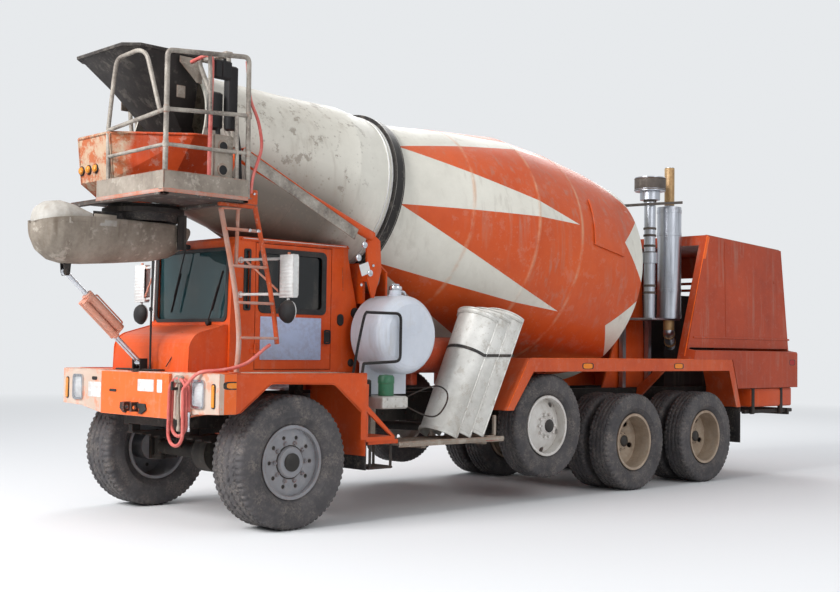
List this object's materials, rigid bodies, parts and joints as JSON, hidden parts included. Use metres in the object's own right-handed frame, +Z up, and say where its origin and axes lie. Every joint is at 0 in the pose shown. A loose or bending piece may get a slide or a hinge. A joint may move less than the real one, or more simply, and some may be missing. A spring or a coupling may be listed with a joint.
{
  "type": "front-discharge concrete mixer truck",
  "caption": "Front-discharge concrete mixer truck with a turning drum, swinging chute, steered front wheels, a lifted axle and opening cab doors.",
  "frame": {"origin": "on the ground under the middle of the truck's outer box", "axes": "+X forwards, +Y to the left side, +Z up"},
  "size_m": [9.81, 2.44, 3.9],
  "materials": {
    "bumper_white": "worn gloss",
    "cab_trim": "matt",
    "crusted_steel": "crusted with concrete",
    "dark_rubber": "matt",
    "disc_grey": "dusty",
    "disc_white": "dusty",
    "drum_paint": "worn gloss with orange bands",
    "frame_black": "satin, dusty",
    "glass": "clear, green tint",
    "grey_steel": "splashed with concrete",
    "hose_rubber": "matt",
    "mirror_housing": "gloss",
    "orange_paint": "gloss",
    "orange_worn": "worn, rusty",
    "pale_aluminium": "dull",
    "rod_chrome": "polished",
    "roller_steel": "worn",
    "silencer_steel": "brushed",
    "tank_white": "gloss, dusty",
    "tyre": "matt"
  },
  "bodies": {
    "truck": {"chassis_frame": "frame_black", "front_bumper": "bumper_white", "front_deck": "orange_paint", "front_axle": "frame_black", "lift_axle": "frame_black", "drive_axles": "frame_black", "cab_shell": "orange_paint", "cab_glass": "glass", "cab_fittings": "cab_trim", "front_pedestal": "orange_worn", "rear_pedestal": "orange_worn", "charge_hopper": "dark_rubber", "discharge_funnel": "orange_worn", "platform": "grey_steel", "ladder": "orange_worn", "side_tanks": "tank_white", "rear_guards": "orange_paint", "side_steps": "grey_steel", "extension_chutes": "pale_aluminium", "mudflaps": "dark_rubber", "mirrors": "mirror_housing", "engine_hood": "orange_paint", "engine_block": "frame_black", "exhaust": "silencer_steel", "air_intake": "silencer_steel", "hose_hook": "frame_black", "hose_run": "hose_rubber", "hose_coil": "hose_rubber"},
    "drum": {"drum_shell": "drum_paint"},
    "roller_left": {"roller_left": "roller_steel"},
    "roller_right": {"roller_right": "roller_steel"},
    "door_left": {"door_left": "orange_paint", "door_glass_left": "glass"},
    "door_right": {"door_right": "orange_paint", "door_glass_right": "glass"},
    "chute_swivel": {"chute_swivel": "frame_black"},
    "chute": {"main_chute": "crusted_steel", "fold_chute": "crusted_steel"},
    "cylinder_foot": {"cylinder_foot": "frame_black"},
    "cylinder_rods": {"cylinder_rods": "rod_chrome"},
    "cylinder_barrels": {"cylinder_barrels": "orange_worn"},
    "cylinder_upper_rod": {"cylinder_upper_rod": "rod_chrome"},
    "knuckle_left": {"knuckle_left": "frame_black"},
    "knuckle_right": {"knuckle_right": "frame_black"},
    "wheel_front_left": {"tyre_front_left": "tyre", "rim_front_left": "disc_grey"},
    "wheel_front_right": {"tyre_front_right": "tyre", "rim_front_right": "disc_grey"},
    "wheel_lift_left": {"tyre_lift_left": "tyre", "rim_lift_left": "disc_white"},
    "wheel_lift_right": {"tyre_lift_right": "tyre", "rim_lift_right": "disc_white"},
    "wheel_drive1_left": {"tyres_drive1_left": "tyre", "rims_drive1_left": "disc_grey"},
    "wheel_drive1_right": {"tyres_drive1_right": "tyre", "rims_drive1_right": "disc_grey"},
    "wheel_drive2_left": {"tyres_drive2_left": "tyre", "rims_drive2_left": "disc_grey"},
    "wheel_drive2_right": {"tyres_drive2_right": "tyre", "rims_drive2_right": "disc_grey"}
  },
  "joints": [
    {"name": "front_wheel_left_spin", "type": "hinge", "parent": "knuckle_left", "child": "wheel_front_left", "pos_m": [3.125, 1.005, 0.545], "axis": [0, 1, 0], "continuous": true},
    {"name": "front_wheel_right_spin", "type": "hinge", "parent": "knuckle_right", "child": "wheel_front_right", "pos_m": [3.125, -1.005, 0.545], "axis": [0, 1, 0], "continuous": true},
    {"name": "lift_wheel_left_spin", "type": "hinge", "parent": "truck", "child": "wheel_lift_left", "pos_m": [-0.115, 1.03, 0.73], "axis": [0, 1, 0], "continuous": true},
    {"name": "lift_wheel_right_spin", "type": "hinge", "parent": "truck", "child": "wheel_lift_right", "pos_m": [-0.115, -1.03, 0.73], "axis": [0, 1, 0], "continuous": true},
    {"name": "drive1_wheel_left_spin", "type": "hinge", "parent": "truck", "child": "wheel_drive1_left", "pos_m": [-1.505, 0.9085, 0.515], "axis": [0, 1, 0], "continuous": true},
    {"name": "drive1_wheel_right_spin", "type": "hinge", "parent": "truck", "child": "wheel_drive1_right", "pos_m": [-1.505, -0.9085, 0.515], "axis": [0, 1, 0], "continuous": true},
    {"name": "drive2_wheel_left_spin", "type": "hinge", "parent": "truck", "child": "wheel_drive2_left", "pos_m": [-2.875, 0.9085, 0.515], "axis": [0, 1, 0], "continuous": true},
    {"name": "drive2_wheel_right_spin", "type": "hinge", "parent": "truck", "child": "wheel_drive2_right", "pos_m": [-2.875, -0.9085, 0.515], "axis": [0, 1, 0], "continuous": true},
    {"name": "steer_left", "type": "hinge", "parent": "truck", "child": "knuckle_left", "pos_m": [3.125, 0.8, 0.545], "axis": [0, 0, 1], "range_deg": [-32, 32]},
    {"name": "steer_right", "type": "hinge", "parent": "truck", "child": "knuckle_right", "pos_m": [3.125, -0.8, 0.545], "axis": [0, 0, 1], "range_deg": [-32, 32]},
    {"name": "door_left_hinge", "type": "hinge", "parent": "truck", "child": "door_left", "pos_m": [3.125, 0.632, 1.8], "axis": [0, 0, 1], "range_deg": [-72, 0]},
    {"name": "door_right_hinge", "type": "hinge", "parent": "truck", "child": "door_right", "pos_m": [3.125, -0.632, 1.8], "axis": [0, 0, 1], "range_deg": [0, 72]},
    {"name": "drum_spin", "type": "hinge", "parent": "truck", "child": "drum", "pos_m": [-2.325, 0, 2.155], "axis": [0.9826, 0, 0.1857], "continuous": true},
    {"name": "roller_left_spin", "type": "hinge", "parent": "truck", "child": "roller_left", "pos_m": [1.82282, 0.53979, 2.12431], "axis": [0.9826, 0, 0.1857], "continuous": true},
    {"name": "roller_right_spin", "type": "hinge", "parent": "truck", "child": "roller_right", "pos_m": [1.82282, -0.53979, 2.12431], "axis": [0.9826, 0, 0.1857], "continuous": true},
    {"name": "chute_slew", "type": "hinge", "parent": "truck", "child": "chute_swivel", "pos_m": [3.845, 0, 2.6], "axis": [0, 0, 1], "range_deg": [-60, 60]},
    {"name": "chute_lift", "type": "hinge", "parent": "chute_swivel", "child": "chute", "pos_m": [3.605, 0, 2.33], "axis": [0, 1, 0], "range_deg": [0, 28]},
    {"name": "cylinder_yaw", "type": "hinge", "parent": "truck", "child": "cylinder_foot", "pos_m": [3.845, 0, 1.33], "axis": [0, 0, 1], "range_deg": [-60.5, 60.5]},
    {"name": "cylinder_tilt", "type": "hinge", "parent": "cylinder_foot", "child": "cylinder_rods", "pos_m": [3.845, 0, 1.33], "axis": [0, 1, 0], "range_deg": [-0.2, 15.09]},
    {"name": "barrel_slide", "type": "slide", "parent": "cylinder_rods", "child": "cylinder_barrels", "axis": [0.7429, 0, 0.6694], "range_m": [-0.2736, 0.002]},
    {"name": "upper_rod_slide", "type": "slide", "parent": "cylinder_barrels", "child": "cylinder_upper_rod", "axis": [0.7429, 0, 0.6694], "range_m": [-0.1834, 0.002]}
  ],
  "couplings": [
    {"joint": "roller_left_spin", "follows": "drum_spin", "ratio": -6.4231},
    {"joint": "roller_right_spin", "follows": "drum_spin", "ratio": -6.4231},
    {"joint": "steer_right", "follows": "steer_left", "ratio": 1},
    {"joint": "cylinder_yaw", "follows": "chute_slew", "ratio": 1},
    {"joint": "cylinder_tilt", "follows": "chute_lift", "ratio": 0.52828},
    {"joint": "barrel_slide", "follows": "chute_lift", "m_per_rad": -0.55375},
    {"joint": "upper_rod_slide", "follows": "chute_lift", "m_per_rad": -0.36916}
  ]
}
